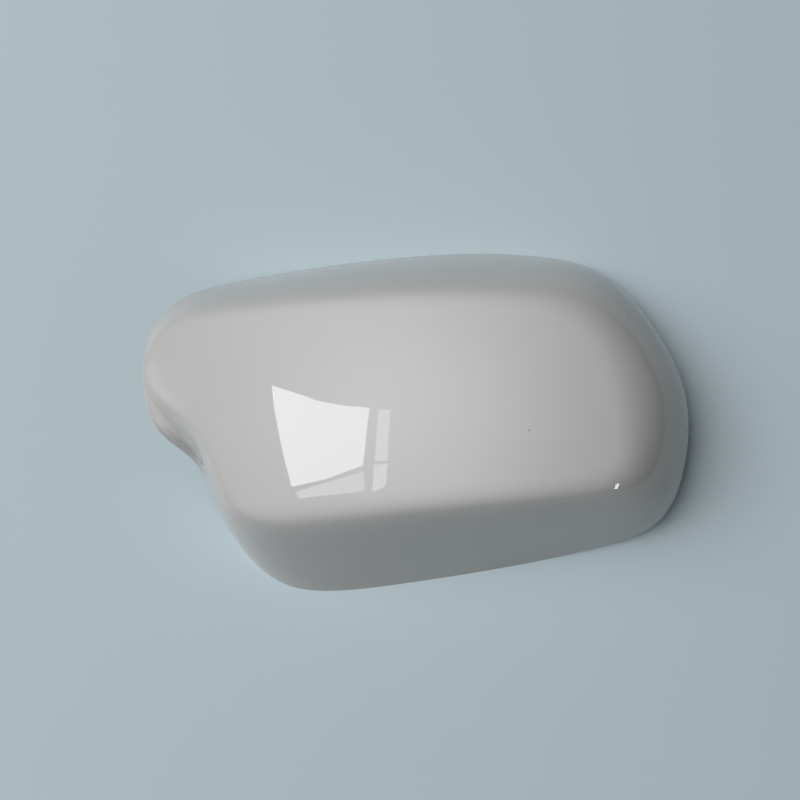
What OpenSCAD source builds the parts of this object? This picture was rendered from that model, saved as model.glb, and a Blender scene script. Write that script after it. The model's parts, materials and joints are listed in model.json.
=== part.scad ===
// Wing mirror cover: the glossy back shell of a car's door mirror, moulded in one piece.
// It lies on its rim. X runs from the neck to the tip, Y across the head, Z up to the crown.
// Sizes are in millimetres.

/* [Shell] */
// Length from the neck's end to the tip
cover_length = 228; // [190:1:270]
// Width across the head
cover_width = 150; // [120:1:180]
// Thickness of the moulded wall
wall = 2.5; // [2:0.1:3.5]

/* [Crown] */
// Height of the crown's highest point above the rim
crown_height = 54; // [46:1:64]
// Radius of the crown along its length
crown_long_r = 500; // [350:10:800]
// Radius of the crown across the head
crown_cross_r = 185; // [140:5:400]
// Distance of the highest point from the middle, towards the tip
apex_x = 25; // [0:1:40]
// Distance of the highest point from the middle, across the head
apex_y = 2; // [-10:1:10]
// Share of the side that lies below the shoulder
crease_share = 0.75; // [0.65:0.01:0.85]

/* [Neck] */
// Height of the arch under the neck, where the mirror's arm passes
arch_height = 36; // [28:1:39]
// Rise of the flared lip for each millimetre inwards
lip_slope = 0.4; // [0.2:0.05:0.6]
// Softness of the valley between the lip and the crown
lip_blend = 9; // [4:0.5:12]

/* [Snap tabs] */
// Width of a tab along the wall
tab_width = 12; // [8:1:18]
// Thickness of a tab
tab_thickness = 2; // [1.6:0.1:2.4]
// Height of a tab's free end above the rim
tab_foot = 9; // [6:1:16]
// How far a tab's hook stands out
hook_depth = 2.2; // [1.5:0.1:3]
// Height of a hook
hook_height = 5; // [3.5:0.5:8]

/* [Locating pins] */
// Radius of a pin
pin_r = 3; // [2:0.1:4]
// Height of a pin's free end above the rim
pin_foot = 24; // [16:1:32]
// Distance of the tip's pin from the middle
tip_pin_x = 48; // [30:1:60]
// Distance of the neck's pin from the middle
neck_pin_x = 62; // [45:1:75]

/* [Hidden] */

// The rim's control points, round from the lower corner beside the neck: [x, y, share of the arch]
rim_points = [
    [-65.4, -63.8, 0], [-45.9, -74.3, 0], [-5.2, -69.6, 0], [45, -62.3, 0], [88, -53.3, 0],
    [111, -46.8, 0], [120.2, -20.1, 0], [123.8, 12.8, 0], [106, 44.9, 0], [88.3, 71.4, 0],
    [55, 77.4, 0], [10, 76.3, 0], [-39.9, 69.3, 0], [-81.1, 60.4, 0.06], [-100.8, 48.6, 0.55],
    [-108.2, 25.3, 1], [-106.6, 3.3, 1], [-100.3, -12.1, 0.97], [-86.3, -17.6, 0.58], [-81.6, -42, 0],
];
// Where the shoulder has turned fully into the crown, point for point with the rim: [x, y]
crown_points = [
    [-65, -37.5], [-50, -35.5], [-8, -31.5], [35, -28.5], [64, -26.5],
    [77, -21], [76, -5], [72, 12], [66, 27], [56, 36],
    [38, 38.5], [2, 38.5], [-38, 36.5], [-78, 34], [-98, 32],
    [-106, 21], [-104, 6], [-91, -1], [-78.5, -14.5], [-72.5, -35.5],
];
// From a straight side with a creased shoulder (0) to a side that bows all the way up (1)
side_bow = [0.4, 0, 0, 0, 0.3, 0.7, 1, 1, 1, 0.7, 0, 0, 0, 0, 0, 0, 0, 0, 0.1, 0.5];
// Share of the side that flares out as the neck's lip, none where it is below 0
lip_share = [0, 0, 0, 0, 0, 0, 0, 0, 0, 0, 0, 0, 0, 0, 0, -0.15, 0.45, 0.7, 0.35, -0.4];
// From a creased shoulder (0) to a side that rounds over all the way (1)
side_round = [
    0.3, 0.12, 0.12, 0.12, 0.2, 0.5, 0.7, 0.7, 0.8, 0.85,
    0.9, 0.9, 0.9, 0.85, 0.8, 0.7, 0.8, 1, 1, 0.8,
];
// Where the snap tabs stand: [place along the rim's control points, ring up the side]
tab_places = [[1.9, 9], [4.1, 9], [7.1, 7], [10.2, 9], [12.3, 9]];

// Samples round the rim, and the two sides of the grid that closes the crown
around = 120;
cap_long = 36;
cap_cross = around / 2 - cap_long;
// Softness of the crease where a side is creased
crease_soft = 0.3;
// Rings up the side, closer together near the rim
rings = 18;
ring_ease = 1.2;
// Shape of the bowed side
bow_power = 2.2;
bow_root = 1.9;
// Height over which the rim's edge turns from level to square with the skin
edge_turn = 8;
pin_fin = 1.6;

function unit(v) = v / norm(v);
function lerp(a, b, t) = a + (b - a) * t;
function smooth_min(a, b, k) = let (h = max(k - abs(a - b), 0) / k) min(a, b) - h * h * h * k / 6;
function smooth_max(a, b, k) = -smooth_min(-a, -b, k);

// Smooth closed curve drawn by a list of control values
function spline(list, u) =
    let (n = len(list), k = floor(u), t = u - k)
    (pow(1 - t, 3) * list[(k + n - 1) % n]
        + (3 * pow(t, 3) - 6 * t * t + 4) * list[k % n]
        + (3 * (t + t * t - pow(t, 3)) + 1) * list[(k + 1) % n]
        + pow(t, 3) * list[(k + 2) % n]) / 6;

// The outline is stretched to the length and width asked for
drawn_rim = [for (u = [0 : 0.05 : len(rim_points) - 0.05]) spline(rim_points, u)];
drawn_x = [for (p = drawn_rim) p.x];
drawn_y = [for (p = drawn_rim) p.y];
stretch = [cover_length / (max(drawn_x) - min(drawn_x)), cover_width / (max(drawn_y) - min(drawn_y))];
centre = [stretch.x * (max(drawn_x) + min(drawn_x)) / 2, stretch.y * (max(drawn_y) + min(drawn_y)) / 2];
sized_rim = [for (p = rim_points) [p.x * stretch.x, p.y * stretch.y, p.z * arch_height]];
sized_crown = [for (p = crown_points) [p.x * stretch.x, p.y * stretch.y]];

// Place of each sample among the control points, so that the samples are evenly spaced
trace_steps = 16;
trace_count = len(sized_rim) * trace_steps;
rim_trace = [for (i = [0 : trace_count]) spline(sized_rim, i / trace_steps)];
rim_run = [
    for (i = 0, s = 0; i <= trace_count;
        s = s + norm(rim_trace[min(i + 1, trace_count)] - rim_trace[i]), i = i + 1) s
];
run_table = [for (i = [0 : trace_count]) [rim_run[i], i / trace_steps]];
place_table = [for (i = [0 : trace_count]) [i / trace_steps, rim_run[i]]];
stations = [for (i = [0 : around - 1]) lookup(i * rim_run[trace_count] / around, run_table)];
function sample_at(u) = round(lookup(u, place_table) * around / rim_run[trace_count]) % around;

rim_loop = [for (u = stations) spline(sized_rim, u)];
crown_loop = [for (u = stations) spline(sized_crown, u)];
bows = [for (u = stations) spline(side_bow, u)];
lips = [for (u = stations) max(0, spline(lip_share, u))];
rounds = [for (u = stations) spline(side_round, u)];

// The crown is domed both ways
function crown_z(p) =
    crown_height - pow(p.x - apex_x, 2) / (2 * crown_long_r) - pow(p.y - apex_y, 2) / (2 * crown_cross_r);
function crown_normal(p) = unit([(p.x - apex_x) / crown_long_r, (p.y - apex_y) / crown_cross_r, 1]);

// How far a side has risen at a share t of the way in from the rim
function bowed(t) = pow(1 - pow(1 - max(t, 0), bow_power), 1 / bow_root);
function creased(t) = smooth_min(t / crease_share, 1, crease_soft);
function rounded(t) = 1 - pow(1 - t, 2);
function rise(t, bow, round) = lerp(lerp(creased(t), rounded(t), round), bowed(t), bow);

function side_point(i, j) =
    let (
        t = pow(j / rings, ring_ease),
        r = rim_loop[i],
        c = crown_loop[i],
        p = lerp([r.x, r.y], c, t),
        lip = lips[i],
        wall_z = r.z + (crown_z(p) - r.z) * rise(max(0, t - lip) / (1 - lip), bows[i], rounds[i]),
        lip_z = r.z + lip_slope * t * norm(c - [r.x, r.y]),
        blend = lip_blend * min(1, lip / 0.1) * min(1, t / 0.2),
        z = blend < 0.01 ? wall_z : smooth_max(wall_z, lip_z, blend)
    )
    [p.x, p.y, z];
side = [for (j = [0 : rings]) [for (i = [0 : around - 1]) side_point(i, j)]];

function side_normal(i, j) =
    j == rings ? crown_normal(side[j][i]) :
    let (
        along = side[j][(i + 1) % around] - side[j][(i + around - 1) % around],
        up = side[j + 1][i] - side[max(j - 1, 0)][i]
    )
    unit(cross(along, up));

// Place on the crown's loop of each point on the edge of the cap's grid
function cap_edge(a, b) =
    b == 0 ? a :
    a == cap_long ? cap_long + b :
    b == cap_cross ? 2 * cap_long + cap_cross - a :
    a == 0 ? (2 * cap_long + 2 * cap_cross - b) % around : -1;
function cap_plan(a, b) =
    let (
        u = a / cap_long,
        v = b / cap_cross,
        low = crown_loop[cap_edge(a, 0)],
        high = crown_loop[cap_edge(a, cap_cross)],
        left = crown_loop[cap_edge(0, b)],
        right = crown_loop[cap_edge(cap_long, b)],
        low_left = crown_loop[0],
        low_right = crown_loop[cap_long],
        high_right = crown_loop[cap_long + cap_cross],
        high_left = crown_loop[2 * cap_long + cap_cross]
    )
    lerp(low, high, v) + lerp(left, right, u)
        - lerp(lerp(low_left, low_right, u), lerp(high_left, high_right, u), v);
cap = [
    for (a = [1 : cap_long - 1], b = [1 : cap_cross - 1])
        let (p = cap_plan(a, b)) [p.x, p.y, crown_z(p)]
];

// The rim's inner edge stays level on the ground, and turns square with the skin over the arch
function rim_inside(i) =
    let (
        n = side_normal(i, 0),
        level = -unit([n.x, n.y, 0]),
        w = min(1, max(0, rim_loop[i].z - wall) / edge_turn),
        c = unit(lerp(level, -n, w * w * (3 - 2 * w)))
    )
    side[0][i] - c * wall / (n * c);
inner_side = concat(
    [[for (i = [0 : around - 1]) rim_inside(i)]],
    [for (j = [2 : 2 : rings]) [for (i = [0 : around - 1]) side[j][i] - side_normal(i, j) * wall]]
);
inner_cap = [for (p = cap) p - crown_normal(p) * wall];

function joined(lists) = [for (l = lists, p = l) p];
function turned(faces) = [for (f = faces) [for (i = [len(f) - 1 : -1 : 0]) f[i]]];
function band(first, count) =
    [for (j = [0 : count - 2], i = [0 : around - 1])
        let (k = (i + 1) % around, low = first + j * around, high = low + around)
        [low + i, high + i, high + k, low + k]];
function cap_id(a, b, ring_first, cap_first) =
    let (e = cap_edge(a, b)) e >= 0 ? ring_first + e : cap_first + (a - 1) * (cap_cross - 1) + b - 1;
function cap_faces(ring_first, cap_first) =
    [for (a = [0 : cap_long - 1], b = [0 : cap_cross - 1])
        [for (q = [[0, 0], [0, 1], [1, 1], [1, 0]]) cap_id(a + q.x, b + q.y, ring_first, cap_first)]];

outer_cap_first = (rings + 1) * around;
inner_first = outer_cap_first + len(cap);
inner_cap_first = inner_first + len(inner_side) * around;

module shell() {
    polyhedron(
        points = concat(joined(side), cap, joined(inner_side), inner_cap),
        faces = concat(
            band(0, rings + 1),
            cap_faces(rings * around, outer_cap_first),
            turned(band(inner_first, len(inner_side))),
            turned(cap_faces(inner_cap_first - around, inner_cap_first)),
            [for (i = [0 : around - 1])
                let (k = (i + 1) % around)
                [i, k, inner_first + k, inner_first + i]]
        ),
        convexity = 6
    );
}

// A blade that hangs from the side wall, with a hook on its free end
module snap_tab(place) {
    i = sample_at(place[0]);
    n = side_normal(i, place[1]);
    top = side[place[1]][i] - n * wall / 2;
    translate([top.x, top.y, tab_foot])
        rotate([0, 0, atan2(n.y, n.x)])
            rotate([90, 0, 0])
                translate([0, 0, -tab_width / 2])
                    linear_extrude(tab_width)
                        polygon([
                            [-tab_thickness / 2, 0],
                            [tab_thickness / 2, 0],
                            [tab_thickness / 2 + hook_depth, hook_height - 1],
                            [tab_thickness / 2 + hook_depth, hook_height],
                            [tab_thickness / 2, hook_height],
                            [tab_thickness / 2, top.z - tab_foot - tab_thickness / 2],
                            [-tab_thickness / 2, top.z - tab_foot + tab_thickness / 2],
                        ]);
}

// A round pin with two crossed fins, standing down from the crown
module locating_pin(x) {
    top = crown_z([x, apex_y]) - wall / 2;
    translate([x, apex_y, pin_foot])
        cylinder(h = top - pin_foot, r = pin_r, $fn = 32);
    for (turn = [0, 90])
        translate([x, apex_y, 0])
            rotate([0, 0, turn])
                translate([-pin_r * 2, -pin_fin / 2, pin_foot + pin_r * 3])
                    cube([pin_r * 4, pin_fin, top - pin_foot - pin_r * 3]);
}

module mirror_cover() {
    color("whitesmoke")
        translate([-centre.x, -centre.y, 0])
        union() {
            shell();
            for (place = tab_places)
                snap_tab(place);
            locating_pin(tip_pin_x);
            locating_pin(-neck_pin_x);
        }
}

mirror_cover();
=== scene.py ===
import json
import math
import bpy
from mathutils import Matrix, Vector

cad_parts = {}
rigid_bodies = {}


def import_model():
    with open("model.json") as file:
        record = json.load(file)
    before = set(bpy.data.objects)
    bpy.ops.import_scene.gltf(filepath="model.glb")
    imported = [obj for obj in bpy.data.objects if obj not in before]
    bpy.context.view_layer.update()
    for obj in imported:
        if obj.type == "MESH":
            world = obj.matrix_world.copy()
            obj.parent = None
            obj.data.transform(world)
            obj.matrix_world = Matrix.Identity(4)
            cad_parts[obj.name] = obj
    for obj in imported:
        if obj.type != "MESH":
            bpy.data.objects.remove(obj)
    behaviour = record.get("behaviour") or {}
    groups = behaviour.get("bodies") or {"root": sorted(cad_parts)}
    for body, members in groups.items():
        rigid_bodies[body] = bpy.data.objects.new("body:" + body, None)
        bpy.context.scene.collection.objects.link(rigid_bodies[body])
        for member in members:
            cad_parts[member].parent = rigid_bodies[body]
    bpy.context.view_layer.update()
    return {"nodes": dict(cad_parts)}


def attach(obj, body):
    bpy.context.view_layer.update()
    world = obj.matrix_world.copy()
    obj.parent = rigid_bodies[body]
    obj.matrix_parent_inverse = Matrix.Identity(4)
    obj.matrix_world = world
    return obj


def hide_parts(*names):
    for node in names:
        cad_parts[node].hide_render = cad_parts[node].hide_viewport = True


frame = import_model()


# Cover shell.
# The real cover is one injection moulding of white ABS, 2.5 mm thick, from a polished
# tool, so its outside is as glossy as paint and its inside is satin. It clips to the
# mirror's housing by tabs and pins that are moulded with it.
MM = 0.001
shell_wall = 2.5 * MM
rim_round = 0.45 * MM
weld_gap = 0.02 * MM
# The outer skin ends where it turns by more than this in one edge
skin_break = math.radians(50)
quad_bend = math.radians(60)
quad_skew = math.radians(75)
# How far each pass of smoothing moves a vertex to the middle of its neighbours
smooth_share = 0.5
inner_passes = 8


def pick_faces(obj, wanted):
    """Selects, in edit mode, the faces of the object that wanted(face) asks for."""
    bpy.ops.mesh.select_all(action="DESELECT")
    bpy.ops.object.mode_set(mode="OBJECT")
    for face in obj.data.polygons:
        face.select = wanted(face)
    bpy.ops.object.mode_set(mode="EDIT")


def finish_modifier(obj, kind, **settings):
    """Adds a modifier with these settings and applies it."""
    bpy.context.view_layer.objects.active = obj
    modifier = obj.modifiers.new(kind.title(), kind)
    for name, value in settings.items():
        setattr(modifier, name, value)
    bpy.ops.object.modifier_apply(modifier=modifier.name)


bpy.ops.object.select_all(action="DESELECT")
cad_cover = frame["nodes"]["mirror_cover"]
cad_cover.select_set(True)
bpy.context.view_layer.objects.active = cad_cover
bpy.ops.object.duplicate()
cover = bpy.context.object
cover.name = "cover_shell"
# The copy is no CAD node any more, so it loses what marks one
for key in [k for k in cover.keys() if k.startswith("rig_")]:
    del cover[key]
cover.parent = None
cover.data.materials.clear()

# The outer skin is kept as the cage: all that the topmost face reaches without an edge
bpy.ops.object.mode_set(mode="EDIT")
bpy.ops.mesh.select_mode(type="FACE")
bpy.ops.mesh.select_all(action="SELECT")
bpy.ops.mesh.remove_doubles(threshold=weld_gap)
bpy.ops.object.mode_set(mode="OBJECT")
top_face = max(cover.data.polygons, key=lambda f: f.center.z).index
bpy.ops.object.mode_set(mode="EDIT")
pick_faces(cover, lambda f: f.index == top_face)
bpy.ops.mesh.faces_select_linked_flat(sharpness=skin_break)
bpy.ops.mesh.select_all(action="INVERT")
bpy.ops.mesh.delete(type="FACE")
bpy.ops.mesh.select_all(action="SELECT")
bpy.ops.mesh.tris_convert_to_quads(face_threshold=quad_bend, shape_threshold=quad_skew)

# The fold behind the neck's lip is smoothed between two corners, x and y. The crown, whose
# faces look nearly straight up, stays as it is, and so do the vertices of the border and of
# this many rings next to it
fold_low = Vector((-106, -38)) * MM
fold_high = Vector((-66, 4)) * MM
fold_passes = 4
crown_upward = 0.96
held_rings = 2
bpy.ops.mesh.select_mode(type="VERT")
bpy.ops.mesh.select_all(action="DESELECT")
bpy.ops.mesh.select_non_manifold()
for ring in range(held_rings):
    bpy.ops.mesh.select_more()
bpy.ops.mesh.hide()
pick_faces(cover, lambda f: not f.hide and f.normal.z < crown_upward and all(
    fold_low[i] < f.center[i] < fold_high[i] for i in (0, 1)))
bpy.ops.mesh.vertices_smooth(factor=smooth_share, repeat=fold_passes)
bpy.ops.mesh.reveal(select=False)
bpy.ops.mesh.select_mode(type="FACE")
bpy.ops.object.mode_set(mode="OBJECT")


def srgb(hex_colour):
    """The linear colour, with alpha, of an sRGB hex value."""
    values = [int(hex_colour[i:i + 2], 16) / 255 for i in (1, 3, 5)]
    return [v / 12.92 if v <= 0.04045 else ((v + 0.055) / 1.055) ** 2.4 for v in values] + [1]


def add_node(material, kind, settings=None, inputs=None):
    """Adds a node with its settings, and links or sets the inputs named or numbered."""
    made = material.node_tree.nodes.new(kind)
    for name, value in (settings or {}).items():
        setattr(made, name, value)
    for key, value in (inputs or {}).items():
        if isinstance(value, bpy.types.NodeSocket):
            material.node_tree.links.new(value, made.inputs[key])
        else:
            made.inputs[key].default_value = value
    return made


def new_material(name):
    """A material with an empty node tree."""
    material = bpy.data.materials.new(name)
    material.use_nodes = True
    material.node_tree.nodes.clear()
    return material


# High-gloss ABS from a polished tool: white and mirror-smooth, with the faint swell of a
# moulded skin, so that a reflection keeps its edges but wavers, and a few specks of dust.
swell_size = 38 * MM
swell_height = 0.3 * MM
dust_spacing = 18 * MM
dust_size = 0.5 * MM
dust_core = 0.6 * dust_size
gloss = new_material("white_abs_polished")
place = add_node(gloss, "ShaderNodeTexCoord").outputs["Object"]
swell = add_node(gloss, "ShaderNodeTexNoise",
                 inputs={"Vector": place, "Scale": 1 / swell_size, "Detail": 1.0})
dust = add_node(gloss, "ShaderNodeTexVoronoi",
                inputs={"Vector": place, "Scale": 1 / dust_spacing})
speck = add_node(gloss, "ShaderNodeMapRange", inputs={
    "Value": dust.outputs["Distance"], "From Min": dust_core / dust_spacing,
    "From Max": dust_size / dust_spacing, "To Min": 1.0, "To Max": 0.0})
white = add_node(gloss, "ShaderNodeMixRGB", inputs={
    "Fac": swell.outputs[0], "Color1": srgb("#BCBCBA"), "Color2": srgb("#C2C2C1")})
dusted = add_node(gloss, "ShaderNodeMixRGB", inputs={
    "Fac": speck.outputs["Result"], "Color1": white.outputs["Color"],
    "Color2": srgb("#96958F")})
bump = add_node(gloss, "ShaderNodeBump", inputs={
    "Height": swell.outputs[0], "Strength": 0.06, "Distance": swell_height})
skin = add_node(gloss, "ShaderNodeBsdfPrincipled", inputs={
    "Base Color": dusted.outputs["Color"], "Roughness": 0.02, "IOR": 1.52,
    "Normal": bump.outputs["Normal"]})
add_node(gloss, "ShaderNodeOutputMaterial", inputs={"Surface": skin.outputs["BSDF"]})

# The same ABS from the tool's plain inner half: satin, so it only shows soft light.
satin = new_material("white_abs_inside")
inner = add_node(satin, "ShaderNodeBsdfPrincipled", inputs={
    "Base Color": srgb("#BDBDBA"), "Roughness": 0.42, "IOR": 1.52})
add_node(satin, "ShaderNodeOutputMaterial", inputs={"Surface": inner.outputs["BSDF"]})
cover.data.materials.clear()
cover.data.materials.append(gloss)
cover.data.materials.append(satin)

# The wall grows inwards from the skin, and its inner face is smoothed. Then the rim is set
# level where it stands on the ground, and its two edges are rounded. The modifier puts the
# inner faces after the skin's, and the rim's after those
skin_faces = len(cover.data.polygons)
finish_modifier(cover, "SOLIDIFY", thickness=shell_wall, offset=-1, use_even_offset=False,
                material_offset=1)
bpy.ops.object.mode_set(mode="EDIT")
pick_faces(cover, lambda f: f.material_index == 1)
bpy.ops.mesh.select_less()
bpy.ops.mesh.vertices_smooth(factor=smooth_share, repeat=inner_passes)
bpy.ops.mesh.select_mode(type="VERT")
bpy.ops.mesh.select_all(action="DESELECT")
bpy.ops.object.mode_set(mode="OBJECT")
for vertex in cover.data.vertices:
    vertex.select = vertex.co.z < 0
bpy.ops.object.mode_set(mode="EDIT")
bpy.ops.transform.resize(value=(1, 1, 0), center_override=(0, 0, 0))
bpy.ops.mesh.select_mode(type="FACE")
pick_faces(cover, lambda f: f.index >= 2 * skin_faces)
bpy.ops.mesh.select_mode(type="EDGE")
bpy.ops.mesh.region_to_loop()
bpy.ops.mesh.bevel(offset=rim_round, segments=2, clamp_overlap=True)
bpy.ops.mesh.select_mode(type="FACE")
bpy.ops.object.mode_set(mode="OBJECT")
finish_modifier(cover, "SUBSURF", levels=1, render_levels=1)


# Snap tabs and locating pins.
# Five blades hang from the side walls, each with a hook at its free end that snaps
# behind the housing's edge. Two finned pins under the crown find the housing's holes.
tab_width = 12 * MM
tab_thickness = 2 * MM
tab_foot = 9 * MM
hook_depth = 2.2 * MM
hook_height = 5 * MM
# The height of the hook's tip, as a share of its root's
hook_tip = 0.2
# A face looks along an axis where its normal's share on it is more than this
along = 0.9
# x, y and top of each tab in mm, and the way that its hook points in degrees
tabs = [
    (-17.53, -55.09, 25.6, -85.8),
    (68.36, -42.90, 31.0, -81.2),
    (95.96, 11.01, 34.6, 15.1),
    (31.24, 57.06, 29.7, 89.7),
    (-56.43, 50.38, 27.2, 100.1),
]


def add_block(low, high):
    """Adds a box between two corners and leaves it in edit mode, all selected."""
    bpy.ops.mesh.primitive_cube_add(size=1)
    bpy.ops.object.mode_set(mode="EDIT")
    bpy.ops.transform.resize(value=[b - a for a, b in zip(low, high)])
    bpy.ops.transform.translate(value=[(b + a) / 2 for a, b in zip(low, high)])
    return bpy.context.object


bpy.ops.object.select_all(action="DESELECT")
tools = []
for x, y, top, turn in tabs:
    height = top * MM - tab_foot
    tab = add_block((-tab_thickness / 2, -tab_width / 2, 0),
                    (tab_thickness / 2, tab_width / 2, hook_height))
    # The blade is drawn up out of the hook's block, and the hook out of its side
    pick_faces(tab, lambda f: f.normal.z > along)
    bpy.ops.mesh.extrude_region_move(
        TRANSFORM_OT_translate={"value": (0, 0, height - hook_height)})
    pick_faces(tab, lambda f: f.normal.x > along and f.center.z < hook_height)
    bpy.ops.mesh.extrude_region_move(TRANSFORM_OT_translate={"value": (hook_depth, 0, 0)})
    bpy.ops.transform.resize(value=(1, 1, hook_tip), center_override=(0, 0, hook_height))
    bpy.ops.mesh.select_all(action="SELECT")
    bpy.ops.transform.rotate(value=-math.radians(turn), orient_axis="Z",
                             center_override=(0, 0, 0))
    bpy.ops.transform.translate(value=(x * MM, y * MM, tab_foot))
    bpy.ops.object.mode_set(mode="OBJECT")
    tools.append(tab)

pin_radius = 3 * MM
pin_round = 0.5 * MM
pin_sides = 48
pin_foot = 24 * MM
pin_y = -0.31 * MM
# x and top of each pin in mm
pins = [(40.86, 52.2), (-69.15, 45.2)]
fin_thickness = 1.6 * MM
fin_reach = 2 * pin_radius
fin_foot = pin_foot + 3 * pin_radius
fins = []
for x, top in pins:
    bpy.ops.mesh.primitive_cylinder_add(
        vertices=pin_sides, radius=pin_radius, depth=top * MM - pin_foot,
        location=(x * MM, pin_y, (top * MM + pin_foot) / 2))
    pin = bpy.context.object
    bpy.ops.object.mode_set(mode="EDIT")
    pick_faces(pin, lambda f: f.normal.z < -along)
    bpy.ops.mesh.bevel(offset=pin_round, segments=3)
    bpy.ops.object.mode_set(mode="OBJECT")
    bpy.ops.object.transform_apply(location=True, rotation=True, scale=True)
    tools.append(pin)
    for half_x, half_y in ((fin_reach, fin_thickness / 2), (fin_thickness / 2, fin_reach)):
        fin = add_block((x * MM - half_x, pin_y - half_y, fin_foot),
                        (x * MM + half_x, pin_y + half_y, top * MM))
        bpy.ops.object.mode_set(mode="OBJECT")
        fins.append(fin)

for tool in tools + fins:
    tool.data.materials.append(satin)
    finish_modifier(cover, "BOOLEAN", operation="UNION", solver="EXACT",
                    material_mode="TRANSFER", object=tool)
    bpy.data.objects.remove(tool)

# Edges that turn by more than this stay sharp, such as those of tabs, hooks, fins and rim
edge_turn = math.radians(35)
bpy.ops.object.select_all(action="DESELECT")
cover.select_set(True)
bpy.context.view_layer.objects.active = cover
bpy.ops.object.shade_smooth_by_angle(angle=edge_turn)

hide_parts("mirror_cover")
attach(cover, "root")


# Floor.
# A plain pale sheet of card under the cover, far wider than the picture, without a sheen
# or a pattern of its own.
floor_size = 6
bpy.ops.mesh.primitive_plane_add(size=floor_size, location=(0, 0, 0))
floor = bpy.context.object
floor.name = "floor"
card = new_material("pale_card")
card_skin = add_node(card, "ShaderNodeBsdfPrincipled", inputs={
    "Base Color": srgb("#C6D6DC"), "Roughness": 0.9, "Specular IOR Level": 0.1})
add_node(card, "ShaderNodeOutputMaterial", inputs={"Surface": card_skin.outputs["BSDF"]})
floor.data.materials.append(card)


# Light.
# Soft daylight from a wide window on the left, whose panes are seen in the gloss, and a
# dim room that is brightest overhead.
def add_lamp(name, place, width, height, radiance, lean=0):
    """An area lamp of this radiance at a place in metres, facing the cover.

    Its upper end leans by this many degrees, to the left as the cover sees it.
    """
    data = bpy.data.lights.new(name, "AREA")
    data.shape = "RECTANGLE"
    data.size = width
    data.size_y = height
    data.energy = radiance * width * height * math.pi
    lamp = bpy.data.objects.new(name, data)
    bpy.context.scene.collection.objects.link(lamp)
    lamp.location = place
    lamp.rotation_euler = (-lamp.location).to_track_quat("-Z", "Y").to_euler()
    lamp.rotation_euler.rotate_axis("Z", -math.radians(lean))
    return lamp


daylight = add_lamp("daylight", (-2.14, 0.38, 2.34), width=2.4, height=2.4, radiance=5.4)
daylight.visible_glossy = False
# A narrow lamp low on the right, of which the gloss shows a small bright spot
strip_lamp = add_lamp("strip_lamp", (1.036, -1.126, 0.399), width=0.05, height=0.4,
                      radiance=11, lean=22)
strip_lamp.visible_diffuse = False


def add_pane(name, height, radiance, corners):
    """A level glowing pane, in metres, that only reflections see."""
    mesh = bpy.data.meshes.new(name)
    mesh.from_pydata([(x, y, height) for x, y in corners], [], [range(len(corners))])
    pane = bpy.data.objects.new(name, mesh)
    bpy.context.scene.collection.objects.link(pane)
    glow = new_material(name + "_glow")
    light = add_node(glow, "ShaderNodeEmission", inputs={
        "Color": srgb("#FDFEFF"), "Strength": radiance})
    add_node(glow, "ShaderNodeOutputMaterial", inputs={"Surface": light.outputs[0]})
    mesh.materials.append(glow)
    pane.visible_camera = False
    pane.visible_diffuse = False
    pane.visible_shadow = False


pane_height = 1.05
add_pane("window_pane", pane_height, radiance=10.3, corners=[
    (-0.531, 0.25), (-0.434, 0.192), (-0.34, 0.138), (-0.268, 0.114), (-0.187, 0.098),
    (-0.208, -0.234), (-0.347, -0.318), (-0.46, -0.362), (-0.484, -0.139)])
add_pane("window_side_pane", pane_height, radiance=7.3, corners=[
    (-0.158, 0.088), (-0.12, 0.086), (-0.131, -0.204), (-0.17, -0.211)])
add_pane("window_side_pane_low", pane_height, radiance=7.3, corners=[
    (-0.173, -0.227), (-0.131, -0.219), (-0.135, -0.34), (-0.171, -0.4), (-0.183, -0.394)])
add_pane("window_low_pane", pane_height, radiance=6.5, corners=[
    (-0.448, -0.392), (-0.208, -0.263), (-0.207, -0.393), (-0.437, -0.454)])

# What the gloss sees of the room: brightest overhead, half as bright this far off, where
# the distance is that of the direction's x and y from straight up
room_peak = 5.0
room_half_x = 0.42
room_half_y = 0.85
room_centre = (-0.08, 0.08)
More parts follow.
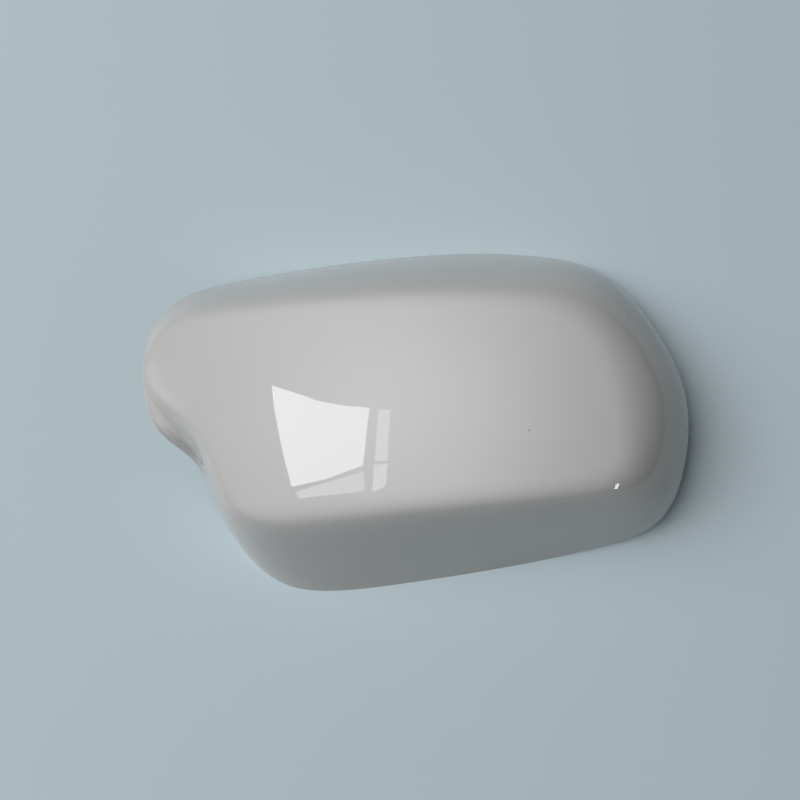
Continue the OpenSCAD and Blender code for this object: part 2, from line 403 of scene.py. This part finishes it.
# Towards the horizon the walls are dimmer, down to this share of it
room_horizon = 0.3
room_horizon_rise = 0.6
room_ambient = 0.08
room = bpy.data.worlds.new("room")
room.use_nodes = True
room.node_tree.nodes.clear()
direction = add_node(room, "ShaderNodeTexCoord").outputs["Generated"]
flat = add_node(room, "ShaderNodeMapping", inputs={
    "Vector": direction, "Scale": (1 / room_half_x, 1 / room_half_y, 0),
    "Location": (-room_centre[0] / room_half_x, -room_centre[1] / room_half_y, 0)})
squared = add_node(room, "ShaderNodeVectorMath", {"operation": "DOT_PRODUCT"}, {
    0: flat.outputs["Vector"], 1: flat.outputs["Vector"]})
share = add_node(room, "ShaderNodeMath", {"operation": "POWER"}, {
    0: 0.5, 1: squared.outputs["Value"]})
upward = add_node(room, "ShaderNodeSeparateXYZ", inputs={"Vector": direction})
walls = add_node(room, "ShaderNodeMapRange", {"interpolation_type": "SMOOTHSTEP"}, {
    "Value": upward.outputs["Z"], "From Min": 0, "From Max": room_horizon_rise,
    "To Min": room_horizon * room_peak, "To Max": room_peak})
overhead = add_node(room, "ShaderNodeMath", {"operation": "MULTIPLY"}, {
    0: share.outputs[0], 1: walls.outputs["Result"]})
ray = add_node(room, "ShaderNodeLightPath")
level = add_node(room, "ShaderNodeMix", {"data_type": "FLOAT"}, {
    0: ray.outputs["Is Glossy Ray"], 2: room_ambient, 3: overhead.outputs[0]})
sky = add_node(room, "ShaderNodeBackground", inputs={
    "Color": srgb("#F8F9FB"), "Strength": level.outputs[0]})
add_node(room, "ShaderNodeOutputWorld", inputs={"Surface": sky.outputs[0]})
bpy.context.scene.world = room


# Camera.
# Held over the cover and a little to its lower left, as in the photograph. Its place, turn
# and lens were fitted to the cover's outline.
lens = bpy.data.cameras.new("camera")
lens.sensor_width = 36
lens.lens = 34.2
lens.clip_start = 0.01
camera = bpy.data.objects.new("camera", lens)
bpy.context.scene.collection.objects.link(camera)
camera.location = (-0.02949, -0.04278, 0.33079)
camera.rotation_euler = [math.radians(a) for a in (8.534, -3.081, 0.056)]
bpy.context.scene.camera = camera
bpy.context.scene.view_settings.view_transform = "Standard"
